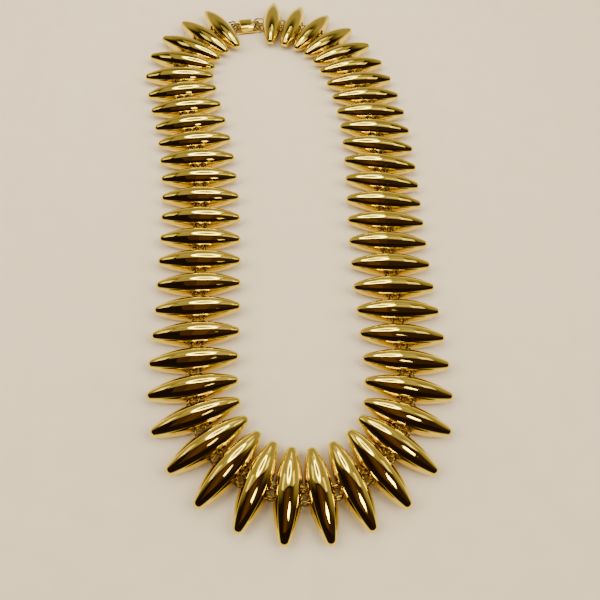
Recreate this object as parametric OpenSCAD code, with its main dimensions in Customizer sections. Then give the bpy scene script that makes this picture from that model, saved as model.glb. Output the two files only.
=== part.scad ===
// A necklace of domed, boat-shaped metal shells that lie side by side across the chain.
// Each shell is hollow and open underneath, and two small oval rings join it to each neighbour.
// It lies closed on a flat surface, with the front middle at -Y and the clasp at the back, +Y.
// Lengths are in millimetres and angles in degrees.

/* [Shells] */
// Length of a shell, from tip to tip across the chain
shell_length = 24; // [23:0.5:25]
// Width of a shell at its middle
shell_width = 7.1; // [6.7:0.1:7.2]
// Radius of a shell's rounded tips
tip_radius = 1.5; // [1.3:0.1:1.6]
// Angle through which a shell's sides curl in under its middle
curl = 30; // [28:1:32]
// Thickness of a shell's metal
wall = 0.6; // [0.5:0.05:0.65]
// Number of shells in the left strand
left_count = 25; // [25:1:26]
// Number of shells in the right strand
right_count = 27; // [27:1:28]

/* [Joints] */
// Gap between neighbouring shells at their middle
shell_gap = 0.9; // [0.85:0.05:1.1]
// Thickness of a ring's wire
ring_wire = 0.5; // [0.4:0.05:0.5]
// Distance between the two rings of a joint
ring_spacing = 2.8; // [2.6:0.1:3]
// Diameter of the holes that the rings pass through
hole_diameter = 1.8; // [1.75:0.05:1.9]

/* [Clasp] */
// Length of the clasp along the chain
clasp_length = 11; // [9:0.5:12]
// Width of the clasp across the chain
clasp_width = 6; // [5:0.5:7]
// Height of the clasp's body
clasp_height = 2.6; // [2:0.1:3]

/* [Hidden] */
$fn = 48;

// Clearance between pieces that don't touch
clearance = 0.12;
// A shell is a body turned most of the way round its long axis, and open underneath. In plan a
// long arc makes each side and a small arc each tip, and the arcs meet smoothly.
shell_radius = shell_width / 2;
// Heights of a shell's lowest edge, of its axis and of the middle of its holes
rim_height = ring_wire + clearance;
axis_height = rim_height + shell_radius * sin(curl);
hole_rise = 0.8;
hole_height = axis_height + hole_rise;
tip_centre = shell_length / 2 - tip_radius;
side_radius = (pow(shell_radius, 2) - pow(tip_radius, 2) + pow(tip_centre, 2))
    / (2 * (shell_radius - tip_radius));
side_centre = side_radius - shell_radius;
// How far along the axis the side arc gives way to the tip arc, at a depth of shrink
function tip_start(shrink) =
    (side_radius - shrink) * tip_centre / (side_radius - tip_radius);

// A ring is an oval of wire that stands across a joint. Its lower run lies on the surface and
// passes under both shells' edges, and its upper run passes through a hole in each shell, this
// far below the middle of the hole.
ring_drop = 0.25;
ring_low = ring_wire / 2;
ring_high = hole_height - ring_drop;
ring_end = (ring_high - ring_low) / 2;
ring_middle = (ring_high + ring_low) / 2;
// Half of the straight runs' length
ring_run = 1.25;
// From a shell's middle to the middle of its wall, at the height of the upper runs
function reach_at(radius) = sqrt(pow(radius, 2) - pow(hole_rise - ring_drop, 2));
hole_reach = (reach_at(shell_radius) + reach_at(shell_radius - wall)) / 2;

// The clasp is a plain rounded bar with a thin drilled tongue at each end, which the rings
// pass round as they pass round a shell's rim.
tongue_length = 2.9;
tongue_thickness = 0.4;
tongue_hole = 2.4;
// Metal left beyond a hole, which the ring passes round
tongue_edge = 0.4;
tongue_width = ring_spacing + tongue_hole + 2 * tongue_edge;
// From the clasp's middle to the holes, and to the metal beyond them
tongue_hole_at = (clasp_length - tongue_hole) / 2 - tongue_edge;
clasp_reach = (clasp_length - tongue_edge) / 2;
clasp_round = 1;

// The chain
pitch = shell_width + shell_gap;
clasp_step = (shell_width + clasp_length) / 2 + shell_gap;
chain_length = (left_count + right_count - 1) * pitch + 2 * clasp_step;

// The closed line that the chain follows: from the front middle up the left strand, round the
// back and down the right strand. lean turns a shell there from square across the line.
X = 0;
Y = 1;
LEAN = 2;
ROUTE = [
    // x, y, lean
    [0, -0.7, 3],
    [-11.1, 1.4, 2],
    [-20.2, 7.4, 2],
    [-26.3, 16.6, 5],
    [-28.6, 28, 7],
    [-29, 48, 4],
    [-29.8, 68, 0],
    [-31.2, 90, -2],
    [-34.5, 112, -2],
    [-39.3, 131, -2],
    [-42.5, 147, 0],
    [-38.4, 161.8, 0],
    [-27.3, 172.6, 0],
    [-12, 176.5, 0],
    [3.3, 172.6, 0],
    [14.4, 161.8, -3],
    [20.5, 147, -5],
    [24.4, 128, -6],
    [25.6, 107, -7],
    [25.7, 86, -2],
    [26, 64, -1],
    [27.2, 44, -5],
    [27.6, 28, -6],
    [25.4, 16.4, -5],
    [19.4, 7.4, -5],
    [10.4, 1.5, -1],
];
// The line is smooth between the table's rows, and is measured in this many steps a row.
STEPS = 10;
row_count = len(ROUTE);

// A smooth curve through b and c, t of the way from b to c, where a and d are the rows beside them
function between(a, b, c, d, t) =
    (2 * b + (c - a) * t + (2 * a - 5 * b + 4 * c - d) * pow(t, 2)
    + (3 * b - a - 3 * c + d) * pow(t, 3)) / 2;
function row(i) = ROUTE[(i + row_count) % row_count];
route_line = [
    for (i = [0 : row_count], k = [0 : STEPS - 1])
        if (i < row_count || k == 0)
            between(row(i - 1), row(i), row(i + 1), row(i + 2), k / STEPS)
];
function plan(p) = [p[X], p[Y]];
function step_length(i) = norm(plan(route_line[i]) - plan(route_line[i - 1]));
route_distance = [
    for (
        i = 0, run = 0;
        i < len(route_line);
        i = i + 1, run = i < len(route_line) ? run + step_length(i) : run
    )
        run
];
// The line is scaled so that the whole chain fits round it exactly.
route_scale = chain_length / route_distance[len(route_distance) - 1];

function column(c) = [for (i = [0 : len(route_line) - 1]) [route_distance[i] * route_scale, route_line[i][c]]];
x_along = column(X);
y_along = column(Y);
lean_along = column(LEAN);

// Place and direction on the line at a distance along it
function wrapped(s) = (s + chain_length) % chain_length;
function place(s) = route_scale * [lookup(wrapped(s), x_along), lookup(wrapped(s), y_along)];
function direction(v) = atan2(v[Y], v[X]);
function heading(s) = direction(place(s + pitch / 2) - place(s - pitch / 2));
function unit(angle) = [cos(angle), sin(angle)];

// Distance along the line of each shell, of the clasp and of a joint's two sides
function left_shell(i) = (i + 0.5) * pitch;
function right_shell(i) = chain_length - (i + 0.5) * pitch;
left_all = [for (i = [0 : left_count - 1]) left_shell(i)];
right_all = [for (i = [0 : right_count - 1]) right_shell(i)];
clasp_at = left_shell(left_count - 1) + clasp_step;

// Direction of the chain through a shell, with the shell's own lean
function turn(s) = heading(s) + lookup(wrapped(s), lean_along);

// The box round all the shells' tips, whose middle becomes the origin
function tips(c) = [
    for (s = concat(left_all, right_all), end = [-1, 1])
        place(s)[c] + end * tip_centre * unit(turn(s) + 90)[c]
];
middle = [for (c = [X, Y]) (min(tips(c)) + max(tips(c))) / 2];

// The point on a piece where a ring passes round its edge. ahead is 1 at the piece's far edge
// along the line and -1 at its near edge, and side is 1 or -1 for the two rings of a joint.
function eye(s, reach, ahead, side, angle) =
    place(s) + ahead * reach * unit(angle) + side * ring_spacing / 2 * unit(angle + 90);
function shell_eye(s, ahead, side) = eye(s, hole_reach, ahead, side, turn(s));
function clasp_eye(ahead, side) =
    eye(clasp_at, clasp_reach, ahead, side, heading(clasp_at));

// Plan of a shell, drawn in from its surface by shrink
module shell_plan(shrink) {
    intersection() {
        translate([side_centre, 0]) circle(r = side_radius - shrink, $fn = 360);
        translate([-side_centre, 0]) circle(r = side_radius - shrink, $fn = 360);
        translate([-shell_radius, -tip_start(shrink)])
            square([shell_width, 2 * tip_start(shrink)]);
    }
    for (end = [-1, 1])
        translate([0, end * tip_centre]) circle(r = tip_radius - shrink);
}

// Half of the plan, which a shell is turned from
module shell_outline(shrink) {
    intersection() {
        shell_plan(shrink);
        translate([0, -shell_length]) square([shell_width, 2 * shell_length]);
    }
}

// One shell over its own middle, with its axis level and the chain running along X. A thinner
// body hollows it out.
module shell() {
    difference() {
        translate([0, 0, axis_height])
            rotate([90, 0, 0])
                rotate([0, 0, -curl])
                    rotate_extrude(angle = 180 + 2 * curl, $fn = 64) shell_outline(0);
        translate([0, 0, axis_height])
            rotate([90, 0, 0])
                rotate_extrude($fn = 64) shell_outline(wall);
        for (side = [-1, 1])
            translate([0, side * ring_spacing / 2, hole_height])
                rotate([0, 90, 0])
                    cylinder(h = 2 * shell_width, d = hole_diameter, center = true);
    }
}

module placed(point, angle) {
    translate([point[X] - middle[X], point[Y] - middle[Y], 0]) rotate(angle) children();
}

module shells(distances) {
    color("gold")
        for (s = distances) placed(place(s), turn(s)) shell();
}

module left_shells() {
    shells(left_all);
}

module right_shells() {
    shells(right_all);
}

// One oval ring that stands along X over its own middle
module ring() {
    for (end = [-1, 1])
        translate([end * ring_run, 0, ring_middle])
            rotate([90, 0, 0])
                rotate([0, 0, end * 90 - 180])
                    rotate_extrude(angle = 180)
                        translate([ring_end, 0]) circle(d = ring_wire, $fn = 24);
    for (height = [ring_low, ring_high])
        translate([0, 0, height])
            rotate([0, 90, 0])
                cylinder(h = 2 * ring_run, d = ring_wire, center = true, $fn = 24);
}

// A ring through two eyes
module ring_between(a, b) {
    placed((a + b) / 2, direction(b - a)) ring();
}

module left_rings() {
    color("gold")
        for (side = [-1, 1]) {
            ring_between(shell_eye(right_shell(0), 1, side), shell_eye(left_shell(0), -1, side));
            for (i = [1 : left_count - 1])
                ring_between(shell_eye(left_shell(i - 1), 1, side), shell_eye(left_shell(i), -1, side));
            ring_between(shell_eye(left_shell(left_count - 1), 1, side), clasp_eye(-1, side));
        }
}

module right_rings() {
    color("gold")
        for (side = [-1, 1]) {
            for (i = [1 : right_count - 1])
                ring_between(shell_eye(right_shell(i), 1, side), shell_eye(right_shell(i - 1), -1, side));
            ring_between(clasp_eye(1, side), shell_eye(right_shell(right_count - 1), -1, side));
        }
}

// Plan of the clasp's body: a rectangle with round corners
module clasp_plan() {
    length = clasp_length - 2 * tongue_length;
    square([length - 2 * clasp_round, clasp_width], center = true);
    square([length, clasp_width - 2 * clasp_round], center = true);
    for (x = [-1, 1], y = [-1, 1])
        translate([x * (length / 2 - clasp_round), y * (clasp_width / 2 - clasp_round)])
            circle(r = clasp_round);
}

module clasp() {
    color("gold")
        placed(place(clasp_at), heading(clasp_at))
            translate([0, 0, rim_height])
                difference() {
                    union() {
                        intersection() {
                            linear_extrude(clasp_height) clasp_plan();
                            translate([0, 0, clasp_height - clasp_width])
                                rotate([0, 90, 0])
                                    cylinder(h = clasp_length, r = clasp_width, center = true);
                        }
                        translate([-clasp_length / 2, -tongue_width / 2, 0])
                            cube([clasp_length, tongue_width, tongue_thickness]);
                    }
                    for (ahead = [-1, 1], side = [-1, 1])
                        translate([ahead * tongue_hole_at, side * ring_spacing / 2, -clearance])
                            cylinder(h = tongue_thickness + 2 * clearance, d = tongue_hole);
                }
}

left_shells();
right_shells();
left_rings();
right_rings();
clasp();
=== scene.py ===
import math

import bpy
import numpy as np
from mathutils import Matrix, Vector


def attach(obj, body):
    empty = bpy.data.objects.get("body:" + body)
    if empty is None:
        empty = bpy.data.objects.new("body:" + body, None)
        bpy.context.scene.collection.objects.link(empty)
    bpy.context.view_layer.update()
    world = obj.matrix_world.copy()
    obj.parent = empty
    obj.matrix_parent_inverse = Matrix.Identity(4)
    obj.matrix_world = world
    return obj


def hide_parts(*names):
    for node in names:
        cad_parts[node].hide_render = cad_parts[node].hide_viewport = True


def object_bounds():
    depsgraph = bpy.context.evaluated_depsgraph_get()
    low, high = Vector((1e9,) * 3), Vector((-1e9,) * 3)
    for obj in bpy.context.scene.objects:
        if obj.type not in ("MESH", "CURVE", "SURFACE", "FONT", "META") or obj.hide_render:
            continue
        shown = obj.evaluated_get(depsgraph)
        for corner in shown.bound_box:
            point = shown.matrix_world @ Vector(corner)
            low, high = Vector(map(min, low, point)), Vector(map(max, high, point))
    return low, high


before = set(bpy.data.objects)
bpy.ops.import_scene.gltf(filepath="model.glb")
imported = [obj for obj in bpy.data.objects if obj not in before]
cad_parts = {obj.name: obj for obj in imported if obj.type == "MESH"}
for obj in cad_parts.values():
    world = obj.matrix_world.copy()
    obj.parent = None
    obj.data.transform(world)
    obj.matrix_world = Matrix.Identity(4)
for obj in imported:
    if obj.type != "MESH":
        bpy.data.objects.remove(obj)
cad_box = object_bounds()

MM = 0.001

# Sizes of the pieces, the same as in the part's source
SHELL_LENGTH = 24 * MM
SHELL_RADIUS = 3.55 * MM
TIP_RADIUS = 1.5 * MM
CURL = math.radians(30)
WALL = 0.6 * MM
RING_WIRE = 0.5 * MM
RING_SPACING = 2.8 * MM
RING_RUN = 1.25 * MM
RING_DROP = 0.25 * MM
HOLE_DIAMETER = 1.8 * MM
HOLE_RISE = 0.8 * MM
RIM_HEIGHT = 0.62 * MM
AXIS_HEIGHT = RIM_HEIGHT + SHELL_RADIUS * math.sin(CURL)
HOLE_HEIGHT = AXIS_HEIGHT + HOLE_RISE
CLASP_LENGTH = 11 * MM
CLASP_WIDTH = 6 * MM
CLASP_HEIGHT = 2.6 * MM
CLASP_ROUND = 1 * MM
TONGUE_LENGTH = 2.9 * MM
TONGUE_THICKNESS = 0.4 * MM
TONGUE_HOLE = 2.4 * MM
TONGUE_EDGE = 0.4 * MM
TONGUE_WIDTH = RING_SPACING + TONGUE_HOLE + 2 * TONGUE_EDGE

# A shell's outline: a long arc for its side and a small arc for each tip
TIP_CENTRE = SHELL_LENGTH / 2 - TIP_RADIUS
SIDE_RADIUS = (
    (SHELL_RADIUS ** 2 - TIP_RADIUS ** 2 + TIP_CENTRE ** 2)
    / (2 * (SHELL_RADIUS - TIP_RADIUS))
)
SIDE_CENTRE = SIDE_RADIUS - SHELL_RADIUS

# How finely the round forms are divided
SIDE_STEPS = 22
TIP_STEPS = 7
TURN_STEPS = 32
SHELL_HOLE_SIDES = 24
RING_STEPS = 32
WIRE_SIDES = 12
CLASP_CORNER_STEPS = 8
CLASP_DOME_SIDES = 96
TONGUE_HOLE_SIDES = 32

# Widths of the softened edges. The clasp's widest ones are divided more finely, and only its
# edges that are sharper than an angle are softened.
SHELL_SOFTNESS = 0.07 * MM
TONGUE_SOFTNESS = 0.08 * MM
CLASP_SOFTNESS = 0.35 * MM
CLASP_SOFT_STEPS = 4
CLASP_SOFT_ANGLE = 50

# Faces of a ring that meet at less than this angle look like one round surface
RING_SMOOTH_ANGLE = 60

# Points of a shell, and of a CAD solid, that are nearer to each other than this are one point
SHELL_MERGE = 0.002 * MM
SOLID_MERGE = 0.001 * MM
# Points nearer to a piece's middle than this count as lying on it
ON_MIDDLE = 0.01 * MM


def deselect_all():
    bpy.ops.object.select_all(action="DESELECT")


def pick(piece):
    """Selects one piece alone, and makes it the one that is worked on."""
    deselect_all()
    bpy.context.view_layer.objects.active = piece
    piece.select_set(True)


def begin_edit(piece):
    pick(piece)
    bpy.ops.object.mode_set(mode="EDIT")


def end_edit():
    bpy.ops.object.mode_set(mode="OBJECT")


def deselect_points(piece):
    begin_edit(piece)
    bpy.ops.mesh.select_all(action="DESELECT")
    end_edit()


def finish_modifier(piece, name):
    pick(piece)
    bpy.ops.object.modifier_apply(modifier=name)


def settle(piece):
    """Moves a piece's place, turn and size into its mesh."""
    pick(piece)
    bpy.ops.object.transform_apply(location=True, rotation=True, scale=True)


def lift(piece, height):
    begin_edit(piece)
    bpy.ops.mesh.select_all(action="SELECT")
    bpy.ops.transform.translate(value=(0, 0, height))
    end_edit()


def cut(piece, tool, operation="DIFFERENCE"):
    """Cuts a piece with a tool shape, or joins the two, and removes the tool."""
    modifier = piece.modifiers.new("cut", "BOOLEAN")
    modifier.operation = operation
    modifier.solver = "EXACT"
    modifier.object = tool
    finish_modifier(piece, "cut")
    bpy.data.objects.remove(tool)


def soften_edges(piece, width, segments=2, angle=40):
    """Bevels a piece's edges that are sharper than an angle."""
    modifier = piece.modifiers.new("soft_edges", "BEVEL")
    modifier.limit_method = "ANGLE"
    modifier.angle_limit = math.radians(angle)
    modifier.width = width
    modifier.segments = segments
    finish_modifier(piece, "soft_edges")


def smooth(piece, angle=35):
    """Makes faces that meet at less than an angle look like one surface."""
    pick(piece)
    bpy.ops.object.shade_smooth_by_angle(angle=math.radians(angle))


def box(size, place):
    deselect_all()
    bpy.ops.mesh.primitive_cube_add(size=1, location=place)
    block = bpy.context.object
    block.scale = size
    settle(block)
    return block


def upright_rod(radius, length, sides, place):
    deselect_all()
    bpy.ops.mesh.primitive_cylinder_add(vertices=sides, radius=radius, depth=length, location=place)
    rod = bpy.context.object
    settle(rod)
    return rod


def level_rod(radius, length, sides, place):
    """A rod that lies along X."""
    deselect_all()
    bpy.ops.mesh.primitive_cylinder_add(
        vertices=sides, radius=radius, depth=length, location=place, rotation=(0, math.pi / 2, 0))
    rod = bpy.context.object
    settle(rod)
    return rod


def shell_outline():
    """Points of a shell's outline from tip to tip.

    Each is its distance from the long axis and its place along it.
    """
    side_turn = math.atan2(TIP_CENTRE, SIDE_CENTRE)
    tip = []
    for i in range(TIP_STEPS):
        turn = math.pi / 2 - i * (math.pi / 2 - side_turn) / TIP_STEPS
        tip.append((TIP_RADIUS * math.cos(turn), TIP_CENTRE + TIP_RADIUS * math.sin(turn)))
    side = []
    for i in range(SIDE_STEPS + 1):
        turn = side_turn - i * 2 * side_turn / SIDE_STEPS
        side.append((SIDE_RADIUS * math.cos(turn) - SIDE_CENTRE, SIDE_RADIUS * math.sin(turn)))
    return tip + side + [(out, -along) for out, along in reversed(tip)]


def half_outline(outline):
    """A line of points along a shell's outline, at the rim that the shell is spun from."""
    deselect_all()
    bpy.ops.mesh.primitive_circle_add(
        vertices=2 * (len(outline) - 1), radius=SHELL_LENGTH / 2, location=(0, 0, 0))
    line = bpy.context.object
    deselect_points(line)
    for point in line.data.vertices:
        point.select = point.co.x < -ON_MIDDLE
    begin_edit(line)
    bpy.ops.mesh.delete(type="VERT")
    end_edit()
    from_tip = sorted(line.data.vertices, key=lambda point: -point.co.y)
    for point, (out, along) in zip(from_tip, outline):
        point.co = (out * math.cos(CURL), along, -out * math.sin(CURL))
    return line


def make_shell():
    """One hollow shell over the origin, with its long axis along Y and its open side down."""
    shell = half_outline(shell_outline())
    begin_edit(shell)
    bpy.ops.mesh.select_all(action="SELECT")
    bpy.ops.mesh.spin(
        steps=TURN_STEPS, angle=math.pi + 2 * CURL, center=(0, 0, 0), axis=(0, 1, 0))
    bpy.ops.mesh.select_all(action="SELECT")
    bpy.ops.mesh.remove_doubles(threshold=SHELL_MERGE)
    bpy.ops.mesh.select_all(action="SELECT")
    bpy.ops.mesh.normals_make_consistent(inside=False)
    end_edit()
    wall = shell.modifiers.new("wall", "SOLIDIFY")
    wall.thickness = WALL
    wall.offset = -1
    wall.use_even_offset = True
    finish_modifier(shell, "wall")
    lift(shell, AXIS_HEIGHT)
    for side in (-1, 1):
        place = (0, side * RING_SPACING / 2, HOLE_HEIGHT)
        cut(shell, level_rod(HOLE_DIAMETER / 2, 4 * SHELL_RADIUS, SHELL_HOLE_SIDES, place))
    soften_edges(shell, SHELL_SOFTNESS)
    smooth(shell)
    shell.name = "shell_pattern"
    return shell


def make_ring():
    """One oval ring over the origin, standing along X."""
    end_radius = (HOLE_HEIGHT - RING_DROP - RING_WIRE / 2) / 2
    deselect_all()
    bpy.ops.mesh.primitive_torus_add(
        major_segments=RING_STEPS, minor_segments=WIRE_SIDES, major_radius=end_radius,
        minor_radius=RING_WIRE / 2, location=(0, 0, 0), rotation=(math.pi / 2, 0, 0))
    ring = bpy.context.object
    settle(ring)
    for end in (-1, 1):
        deselect_points(ring)
        for point in ring.data.vertices:
            point.select = end * point.co.x > ON_MIDDLE
        begin_edit(ring)
        bpy.ops.transform.translate(value=(end * RING_RUN, 0, 0))
        end_edit()
    lift(ring, end_radius + RING_WIRE / 2)
    smooth(ring, RING_SMOOTH_ANGLE)
    ring.name = "ring_pattern"
    return ring


def clasp_body():
    """The clasp's bar: a block with round corners under a dome."""
    body = box((CLASP_LENGTH - 2 * TONGUE_LENGTH, CLASP_WIDTH, CLASP_HEIGHT), (0, 0, CLASP_HEIGHT / 2))
    deselect_points(body)
    for edge in body.data.edges:
        a, b = (body.data.vertices[i].co for i in edge.vertices)
        edge.select = abs(a.z - b.z) > CLASP_HEIGHT / 2
    begin_edit(body)
    bpy.ops.mesh.select_mode(type="EDGE")
    bpy.ops.mesh.bevel(offset=CLASP_ROUND, segments=CLASP_CORNER_STEPS)
    bpy.ops.mesh.select_mode(type="VERT")
    end_edit()
    place = (0, 0, CLASP_HEIGHT - CLASP_WIDTH)
    dome = level_rod(CLASP_WIDTH, 2 * CLASP_LENGTH, CLASP_DOME_SIDES, place)
    cut(body, dome, "INTERSECT")
    soften_edges(body, CLASP_SOFTNESS, CLASP_SOFT_STEPS, CLASP_SOFT_ANGLE)
    return body


def clasp_tongues():
    """The flat strip whose drilled ends stand out from the clasp's bar."""
    tongues = box((CLASP_LENGTH, TONGUE_WIDTH, TONGUE_THICKNESS), (0, 0, TONGUE_THICKNESS / 2))
    hole_at = (CLASP_LENGTH - TONGUE_HOLE) / 2 - TONGUE_EDGE
    for ahead in (-1, 1):
        for side in (-1, 1):
            place = (ahead * hole_at, side * RING_SPACING / 2, 0)
            cut(tongues, upright_rod(TONGUE_HOLE / 2, 4 * TONGUE_THICKNESS, TONGUE_HOLE_SIDES, place))
    soften_edges(tongues, TONGUE_SOFTNESS)
    return tongues


def make_clasp():
    """The clasp over the origin, lying along X."""
    clasp = clasp_body()
    cut(clasp, clasp_tongues(), "UNION")
    lift(clasp, RIM_HEIGHT)
    smooth(clasp)
    clasp.name = "clasp_pattern"
    return clasp


def loose_solids(node):
    """Copies of the separate solids in a CAD node."""
    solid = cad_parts[node]
    copy = solid.copy()
    copy.data = solid.data.copy()
    copy.parent = None
    bpy.context.scene.collection.objects.link(copy)
    begin_edit(copy)
    bpy.ops.mesh.select_all(action="SELECT")
    bpy.ops.mesh.remove_doubles(threshold=SOLID_MERGE)
    bpy.ops.mesh.separate(type="LOOSE")
    end_edit()
    return list(bpy.context.selected_objects)


def seen_from_above(mesh):
    """Middle of a mesh's surface and its long direction, as x, y and an angle."""
    corners = np.zeros(len(mesh.vertices) * 3)
    mesh.vertices.foreach_get("co", corners)
    mesh.calc_loop_triangles()
    triangles = np.zeros(len(mesh.loop_triangles) * 3, int)
    mesh.loop_triangles.foreach_get("vertices", triangles)
    points = corners.reshape(-1, 3)[triangles.reshape(-1, 3)]
    first, second, third = points[:, 0], points[:, 1], points[:, 2]
    area = np.linalg.norm(np.cross(second - first, third - first), axis=1)
    centres = points.mean(1)[:, :2]
    middle = (area[:, None] * centres).sum(0) / area.sum()
    spread = (area[:, None] * (centres - middle)).T @ (centres - middle)
    sizes, directions = np.linalg.eigh(spread)
    along = directions[:, sizes.argmax()]
    return middle[0], middle[1], math.atan2(along[1], along[0])


def places(node):
    """Middle and long direction, seen from above, of each separate solid in a CAD node."""
    found = []
    for solid in loose_solids(node):
        found.append(seen_from_above(solid.data))
        bpy.data.objects.remove(solid)
    return found


def copies(pattern, spots, turn, name, node, material):
    """One piece of copies of a pattern, one at each spot, which stands for a CAD node."""
    made = []
    for x, y, angle in spots:
        one = pattern.copy()
        one.data = pattern.data.copy()
        bpy.context.scene.collection.objects.link(one)
        one.data.transform(Matrix.Translation((x, y, 0)) @ Matrix.Rotation(angle + turn, 4, "Z"))
        made.append(one)
    deselect_all()
    for one in made:
        one.select_set(True)
    bpy.context.view_layer.objects.active = made[0]
    bpy.ops.object.join()
    piece = bpy.context.object
    piece.name = name
    piece.data.name = name
    piece.data.materials.clear()
    piece.data.materials.append(material)
    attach(piece, "root")
    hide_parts(node)


def noise_pattern(material, scale, detail):
    """A noise in the piece's own space."""
    nodes = material.node_tree.nodes
    place = nodes.new("ShaderNodeTexCoord")
    noise = nodes.new("ShaderNodeTexNoise")
    noise.inputs["Scale"].default_value = scale
    noise.inputs["Detail"].default_value = detail
    material.node_tree.links.new(place.outputs["Object"], noise.inputs["Vector"])
    return noise.outputs["Fac"]


def two_tones(material, pattern, dark, light, dark_at, light_at):
    """Colours a material between two tones by a pattern."""
    nodes = material.node_tree.nodes
    links = material.node_tree.links
    tone = nodes.new("ShaderNodeValToRGB")
    dark_stop, light_stop = tone.color_ramp.elements
    dark_stop.position = dark_at
    dark_stop.color = dark + (1,)
    light_stop.position = light_at
    light_stop.color = light + (1,)
    links.new(pattern, tone.inputs["Fac"])
    links.new(tone.outputs["Color"], nodes["Principled BSDF"].inputs["Base Color"])


# The plating's haze, and the slight waves that polishing leaves in the metal
HAZE_SCALE = 260
HAZE_DETAIL = 4
HAZE_DARK_AT = 0.3
HAZE_LIGHT_AT = 0.7
WAVE_SCALE = 340
WAVE_DETAIL = 1
WAVE_HEIGHT = 0.012 * MM

# The plating of the shells and the clasp, and that of the rings, which is duller and darker, its
# darker colour being painted shade of the gaps between the shells: its dark and light tones, and its
# roughness where it is dullest and where it is glossiest
PLATING = ((0.87, 0.67, 0.09), (0.92, 0.72, 0.12), 0.07, 0.035)
# The rings' dark brown tones are painted shade, not the plating's own colour
WIRE_PLATING_WITH_PAINTED_SHADE = ((0.30, 0.18, 0.03), (0.38, 0.24, 0.04), 0.14, 0.07)


def gold_plating(name, dark, light, dull, bright):
    """Gold plating with a fine haze and slight waves."""
    material = bpy.data.materials.new(name)
    material.use_nodes = True
    nodes = material.node_tree.nodes
    links = material.node_tree.links
    shader = nodes["Principled BSDF"]
    shader.inputs["Metallic"].default_value = 1.0
    haze = noise_pattern(material, HAZE_SCALE, HAZE_DETAIL)
    two_tones(material, haze, dark, light, HAZE_DARK_AT, HAZE_LIGHT_AT)
    gloss = nodes.new("ShaderNodeMapRange")
    gloss.inputs["To Min"].default_value = bright
    gloss.inputs["To Max"].default_value = dull
    links.new(haze, gloss.inputs["Value"])
    links.new(gloss.outputs["Result"], shader.inputs["Roughness"])
    waves = nodes.new("ShaderNodeBump")
    waves.inputs["Strength"].default_value = 1
    waves.inputs["Distance"].default_value = WAVE_HEIGHT
    links.new(noise_pattern(material, WAVE_SCALE, WAVE_DETAIL), waves.inputs["Height"])
    links.new(waves.outputs["Normal"], shader.inputs["Normal"])
    return material


FLOOR_SIZE = 1.6
FLOOR_GRAIN = 120
FLOOR_DETAIL = 2
FLOOR_DARK = (0.77, 0.63, 0.42)
FLOOR_LIGHT = (0.83, 0.69, 0.47)
FLOOR_ROUGHNESS = 0.85


def pale_floor():
    low, high = (Vector(corner) for corner in cad_box)
    middle = (low + high) / 2
    deselect_all()
    bpy.ops.mesh.primitive_plane_add(size=FLOOR_SIZE, location=(middle.x, middle.y, low.z))
    floor = bpy.context.object
    floor.name = "floor"
    settle(floor)
    material = bpy.data.materials.new("pale_floor")
    material.use_nodes = True
    material.node_tree.nodes["Principled BSDF"].inputs["Roughness"].default_value = FLOOR_ROUGHNESS
    grain = noise_pattern(material, FLOOR_GRAIN, FLOOR_DETAIL)
    two_tones(material, grain, FLOOR_DARK, FLOOR_LIGHT, 0, 1)
    floor.data.materials.append(material)


# The camera looks down by this many degrees, turned a little to the right and slightly rolled
CAMERA_DOWN = 58.344
CAMERA_TURN = 6.105
CAMERA_ROLL = 6.740
CAMERA_PLACE = (-3.64 * MM, -130.75 * MM, 159.50 * MM)
CAMERA_LENS = 39
CAMERA_NEAREST = 5 * MM


def camera():
    """The camera at the photograph's angle."""
    down, yaw, roll = (math.radians(a) for a in (CAMERA_DOWN, CAMERA_TURN, CAMERA_ROLL))
    right = Vector((math.cos(yaw), -math.sin(yaw), 0))
    ahead = Vector((math.sin(yaw) * math.cos(down), math.cos(yaw) * math.cos(down), -math.sin(down)))
    up = right.cross(ahead)
    side = math.cos(roll) * right + math.sin(roll) * up
    top = math.cos(roll) * up - math.sin(roll) * right
    turn = Matrix((side, top, -ahead)).transposed()
    data = bpy.data.cameras.new("camera")
    data.lens = CAMERA_LENS
    data.clip_start = CAMERA_NEAREST
    view = bpy.data.objects.new("camera", data)
    view.matrix_world = Matrix.Translation(CAMERA_PLACE) @ turn.to_4x4()
    bpy.context.scene.collection.objects.link(view)
    bpy.context.scene.camera = view


# Colour of the room where no lamp shines
ROOM_DARK = (0.015, 0.008, 0.002, 1)

# Soft lights far away, by the direction that they shine from: the azimuth is 0 away from the
# camera and grows clockwise, and all angles are in degrees. The first is behind the necklace's
# clasp, and the second goes all the way round, low down.
FAR_LIGHTS = (
    # azimuth from, to, elevation from, to, soft edge, strength, colour
    (-70, 80, -10, 42, 14, 0.42, (1.0, 0.86, 0.68)),
    (-400, 400, -40, 9, 6, 0.6, (1.0, 0.92, 0.82)),
)

# Colours of the lamps
WARM = (1.0, 0.86, 0.66)
GOLDEN = (1.0, 0.88, 0.54)
AMBER = (1.0, 0.42, 0.10)
DAYLIGHT = (1.0, 0.955, 0.87)
CREAM = (1.0, 0.93, 0.66)
HONEY = (1.0, 0.80, 0.40)
WHITE = (1.0, 0.98, 0.86)

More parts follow.
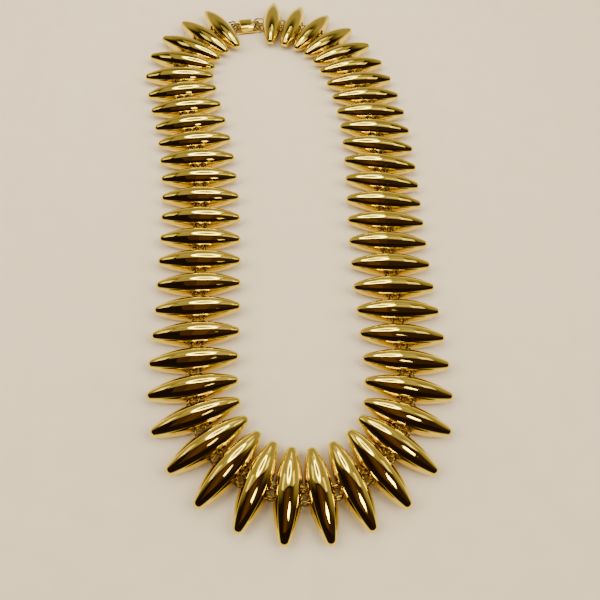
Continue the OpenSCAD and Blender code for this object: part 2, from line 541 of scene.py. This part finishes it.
# Soft panels near the necklace, as in a small light tent: what each one lights is the metal, where
# it shows as a reflection, or the floor, or both. Places and sizes are in millimetres.
PANELS = (
    # name, middle, point that it faces, width, depth, strength, colour, lights the metal, the floor
    ("ceiling", (0, 102, 220), (0, 102, 0), 310, 220, 0.36, WARM, True, True),
    ("left_corner", (-190, 50, 190), (0, 0, 0), 90, 70, 1.4, GOLDEN, True, False),
    ("right_corner", (165, 37, 200), (0, 0, 0), 70, 66, 1.4, GOLDEN, True, False),
    ("back_corner", (34, 190, 200), (0, 0, 0), 70, 46, 1.4, GOLDEN, True, False),
    ("front_glow", (-15, -105, 172), (-15, -105, 0), 140, 140, 0.045, AMBER, True, False),
    ("front_glow_middle", (-8, -105, 173), (-8, -105, 0), 56, 140, 0.04, AMBER, True, False),
    ("front_glow_side", (178, -105, 172), (178, -105, 0), 245, 140, 0.022, AMBER, True, False),
    ("left_fill", (-1100, -100, 750), (0, 0, 0), 1000, 1800, 4.6, DAYLIGHT, False, True),
    ("right_fill", (1100, -100, 750), (0, 0, 0), 1000, 1800, 4.6, DAYLIGHT, False, True),
)

# Small lamps with a narrow beam, each of which one part of the necklace sees more than the rest
SPARKS = (
    # name, middle, point that it faces, width, depth, strength, colour, angle of its beam
    ("front_spark", (46, -106, 128), (22, -92, 0), 36, 36, 0.8, CREAM, 34),
    ("left_spark", (46, -106, 128), (-45, 60, 0), 26, 40, 0.2, HONEY, 32),
    ("right_spark", (111, 55, 205), (30, 50, 0), 40, 90, 0.14, GOLDEN, 60),
)

# Watts that a square metre of a panel of strength 1 gives
PANEL_WATTS = 4

# The ring-shaped lamp: its middle, the point that it faces, its size across, its strength, and its
# rings of light as their distance from the middle, in parts of its size, and their brightness
RING_LAMP_PLACE = (-10, 96, 246)
RING_LAMP_FACES = (-10, 60, 0)
RING_LAMP_ACROSS = 166
RING_LAMP_STRENGTH = 7.5
RING_LAMP_BANDS = ((0.27, 0), (0.37, 1), (0.43, 1), (0.5, 0))
# Where a lamp's own coordinates, which go from 0 to 1 across its face, have their middle
LAMP_FACE_MIDDLE = (0.5, 0.5, 0)


def panel(name, middle, faces, width, depth, strength, colour, metal, floor, shape="RECTANGLE"):
    """A flat lamp that shines evenly over its face and doesn't show itself to the camera."""
    data = bpy.data.lights.new(name, "AREA")
    data.shape = shape
    data.size = width * MM
    data.size_y = depth * MM
    data.energy = PANEL_WATTS * data.size * data.size_y * strength
    data.color = colour
    lamp = bpy.data.objects.new(name, data)
    middle = Vector(middle) * MM
    turn = (Vector(faces) * MM - middle).to_track_quat("-Z", "Y")
    lamp.matrix_world = Matrix.Translation(middle) @ turn.to_matrix().to_4x4()
    bpy.context.scene.collection.objects.link(lamp)
    lamp.visible_camera = False
    lamp.visible_glossy = metal
    lamp.visible_diffuse = floor
    return lamp


def ring_lamp():
    """A ring-shaped lamp under the tent's ceiling, which gives each shell its white streak."""
    lamp = panel("ring_lamp", RING_LAMP_PLACE, RING_LAMP_FACES, RING_LAMP_ACROSS, RING_LAMP_ACROSS,
                 RING_LAMP_STRENGTH, WHITE, True, True, "DISK")
    lamp.data.use_nodes = True
    nodes = lamp.data.node_tree.nodes
    links = lamp.data.node_tree.links
    place = nodes.new("ShaderNodeNewGeometry")
    off = nodes.new("ShaderNodeVectorMath")
    off.operation = "DISTANCE"
    off.inputs[1].default_value = LAMP_FACE_MIDDLE
    links.new(place.outputs["Parametric"], off.inputs[0])
    bands = nodes.new("ShaderNodeValToRGB")
    bands.color_ramp.interpolation = "EASE"
    stops = bands.color_ramp.elements
    stops[0].position = RING_LAMP_BANDS[0][0]
    stops[1].position = RING_LAMP_BANDS[1][0]
    for at, _ in RING_LAMP_BANDS[2:]:
        stops.new(at)
    for stop, (_, bright) in zip(stops, RING_LAMP_BANDS):
        stop.color = (bright, bright, bright, 1)
    links.new(off.outputs["Value"], bands.inputs["Fac"])
    links.new(bands.outputs["Color"], nodes["Emission"].inputs["Strength"])


def room_light():
    """A dark room with soft lights and a brighter low horizon."""
    world = bpy.data.worlds.new("room")
    world.use_nodes = True
    bpy.context.scene.world = world
    nodes = world.node_tree.nodes
    links = world.node_tree.links

    def math_node(operation, *values):
        node = nodes.new("ShaderNodeMath")
        node.operation = operation
        for slot, value in enumerate(values):
            if isinstance(value, (int, float)):
                node.inputs[slot].default_value = value
            else:
                links.new(value, node.inputs[slot])
        return node.outputs["Value"]

    def ramp(value, low, high, start=0.0, end=1.0):
        node = nodes.new("ShaderNodeMapRange")
        node.interpolation_type = "SMOOTHSTEP"
        links.new(value, node.inputs["Value"])
        node.inputs["From Min"].default_value = low
        node.inputs["From Max"].default_value = high
        node.inputs["To Min"].default_value = start
        node.inputs["To Max"].default_value = end
        return node.outputs["Result"]

    def window(angle, low, high, soft):
        """1 between two angles and 0 beyond them, with soft edges."""
        rise = ramp(angle, low - soft, low + soft)
        return math_node("MULTIPLY", rise, ramp(angle, high - soft, high + soft, 1, 0))

    def added(base, share, colour):
        node = nodes.new("ShaderNodeMix")
        node.data_type = "RGBA"
        node.blend_type = "ADD"
        node.inputs["Factor"].default_value = 1
        links.new(base, node.inputs["A"])
        scale = nodes.new("ShaderNodeVectorMath")
        scale.operation = "SCALE"
        scale.inputs[0].default_value = colour
        links.new(share, scale.inputs["Scale"])
        links.new(scale.outputs["Vector"], node.inputs["B"])
        return node.outputs["Result"]

    place = nodes.new("ShaderNodeTexCoord")
    parts = nodes.new("ShaderNodeSeparateXYZ")
    links.new(place.outputs["Generated"], parts.inputs["Vector"])
    degrees = 180 / math.pi
    azimuth = math_node("ARCTAN2", parts.outputs["X"], parts.outputs["Y"])
    azimuth = math_node("MULTIPLY", azimuth, degrees)
    elevation = math_node("ARCSINE", parts.outputs["Z"])
    elevation = math_node("MULTIPLY", elevation, degrees)
    dark = nodes.new("ShaderNodeRGB")
    dark.outputs["Color"].default_value = ROOM_DARK
    total = dark.outputs["Color"]
    for az_low, az_high, el_low, el_high, soft, strength, colour in FAR_LIGHTS:
        share = math_node("MULTIPLY", window(azimuth, az_low, az_high, soft),
                          window(elevation, el_low, el_high, soft))
        total = added(total, math_node("MULTIPLY", share, strength), colour)
    links.new(total, nodes["Background"].inputs["Color"])


gold = gold_plating("polished_gold", *PLATING)
# The rings' plating, darkened as painted shade of the gaps between the shells
shade_painted_wire_gold = gold_plating("ring_wire_gold_painted_shade", *WIRE_PLATING_WITH_PAINTED_SHADE)
shell = make_shell()
ring = make_ring()
clasp = make_clasp()
for strand in ("left", "right"):
    shell_places = places(strand + "_shells")
    copies(shell, shell_places, -math.pi / 2, strand + "_strand_shells", strand + "_shells", gold)
    # The rings get the plating whose darker colour is painted shade
    copies(ring, places(strand + "_rings"), 0, strand + "_strand_rings", strand + "_rings", shade_painted_wire_gold)
copies(clasp, places("clasp"), 0, "back_clasp", "clasp", gold)
for pattern in (shell, ring, clasp):
    bpy.data.objects.remove(pattern)
pale_floor()
camera()
room_light()
for row in PANELS:
    panel(*row)
for *row, beam in SPARKS:
    panel(*row, True, False).data.spread = math.radians(beam)
ring_lamp()
